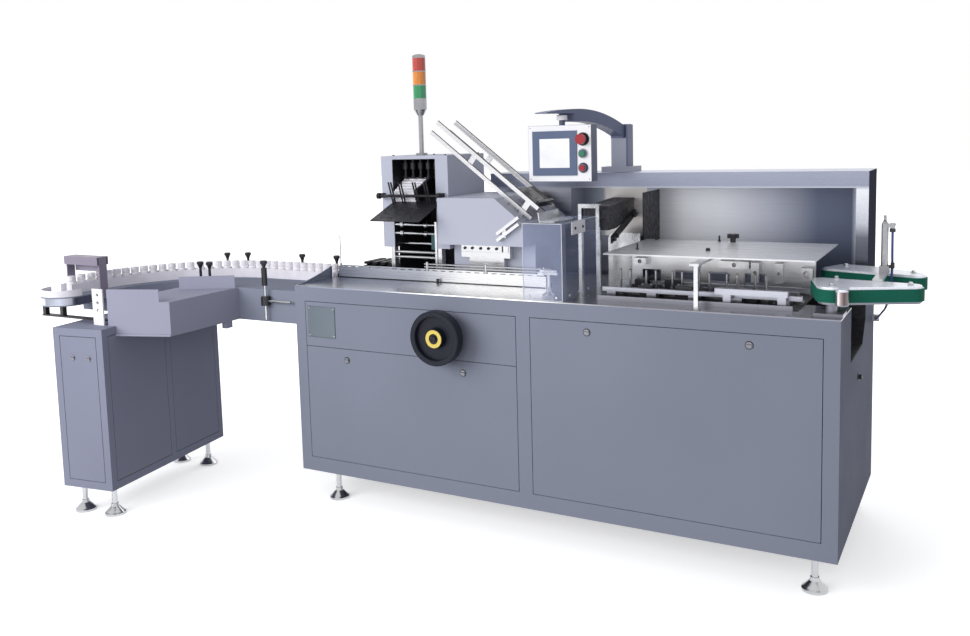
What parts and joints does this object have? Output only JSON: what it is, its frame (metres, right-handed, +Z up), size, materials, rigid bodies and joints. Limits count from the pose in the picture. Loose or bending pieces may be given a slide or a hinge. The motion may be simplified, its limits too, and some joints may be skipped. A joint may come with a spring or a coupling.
{
  "type": "automatic cartoner",
  "caption": "Horizontal automatic cartoner on a panelled cabinet, with a curved bottle infeed, leaflet folder, sloped carton magazine, swivel operator panel and twin-belt outfeed.",
  "frame": {"origin": "middle of the whole machine's footprint, on the floor", "axes": "+Z up, +X along the machine towards the outfeed, +Y from the operator's side to the back"},
  "size_m": [3.4077, 1.4888, 1.864],
  "materials": {
    "amber": "amber plastic",
    "belt_green": "green belt",
    "black_plastic": "black moulded plastic",
    "box_grey": "light grey paint",
    "bright_steel": "bright plated or polished steel",
    "cabinet_paint": "mid blue-grey powder coat, fine satin",
    "clear": "clear acrylic sheet",
    "dark_metal": "blackened or dark painted steel",
    "green": "green plastic",
    "hose_blue": "blue air hose",
    "paper": "pale paper",
    "red": "red plastic",
    "screen": "pale display",
    "slate": "slate blue paint",
    "stainless": "brushed stainless steel",
    "white_plastic": "white plastic",
    "yellow": "yellow plastic ring"
  },
  "bodies": {
    "machine": {"cabinet": "cabinet_paint", "front_panels": "cabinet_paint", "rear_panels": "cabinet_paint", "panel_locks": "bright_steel", "levelling_feet": "bright_steel", "worktop": "stainless", "product_ledge": "stainless", "product_chain": "dark_metal", "guide_rods": "bright_steel", "hood_frame": "stainless", "hood_back": "stainless", "handwheel_boss": "dark_metal", "leaflet_housing": "box_grey", "leaflet_stand": "stainless", "leaflet_tray": "dark_metal", "leaflet_fingers": "dark_metal", "leaflet_shafts": "bright_steel", "leaflet_stack": "paper", "centre_housing": "box_grey", "centre_cover": "box_grey", "cam_block": "stainless", "magazine_rails": "stainless", "magazine_gate": "dark_metal", "clear_guard": "clear", "guard_fittings": "bright_steel", "pickup_cover": "dark_metal", "carton_rails": "stainless", "carton_lugs": "dark_metal", "tuck_wall": "white_plastic", "cover_plate": "stainless", "cover_knob": "black_plastic", "cover_bracket": "stainless", "outfeed_units": "stainless", "outfeed_belts": "belt_green", "outfeed_bridge": "stainless", "air_cylinder": "bright_steel", "air_hose": "hose_blue", "arm_base": "box_grey", "panel_arm": "slate", "signal_pole": "box_grey", "signal_red": "red", "signal_amber": "amber", "signal_green": "green", "infeed_cabinet": "cabinet_paint", "infeed_panels": "cabinet_paint", "infeed_beam": "cabinet_paint", "infeed_tray": "cabinet_paint", "infeed_chain": "white_plastic", "infeed_rails": "white_plastic", "infeed_clamps": "black_plastic", "infeed_bracket": "white_plastic", "bottles": "white_plastic"},
    "handwheel": {"handwheel": "black_plastic", "handwheel_ring": "yellow"},
    "panel": {"panel_box": "box_grey", "panel_screen": "slate", "panel_display": "screen"},
    "estop": {"estop_button": "red"},
    "start": {"start_button": "green"},
    "stop": {"stop_button": "red"}
  },
  "joints": [
    {"name": "handwheel_spin", "type": "hinge", "parent": "machine", "child": "handwheel", "pos_m": [0.065, -0.1591, 0.759], "axis": [0, -1, 0], "continuous": true},
    {"name": "panel_swivel", "type": "hinge", "parent": "machine", "child": "panel", "pos_m": [0.372, 0.2709, 1.588], "axis": [0, 0, 1], "range_deg": [-75, 75]},
    {"name": "estop_press", "type": "slide", "parent": "panel", "child": "estop", "axis": [0, 1, 0], "range_m": [0, 0.004], "stiffness_N_per_m": 900},
    {"name": "start_press", "type": "slide", "parent": "panel", "child": "start", "axis": [0, 1, 0], "range_m": [0, 0.004], "stiffness_N_per_m": 900},
    {"name": "stop_press", "type": "slide", "parent": "panel", "child": "stop", "axis": [0, 1, 0], "range_m": [0, 0.004], "stiffness_N_per_m": 900}
  ]
}
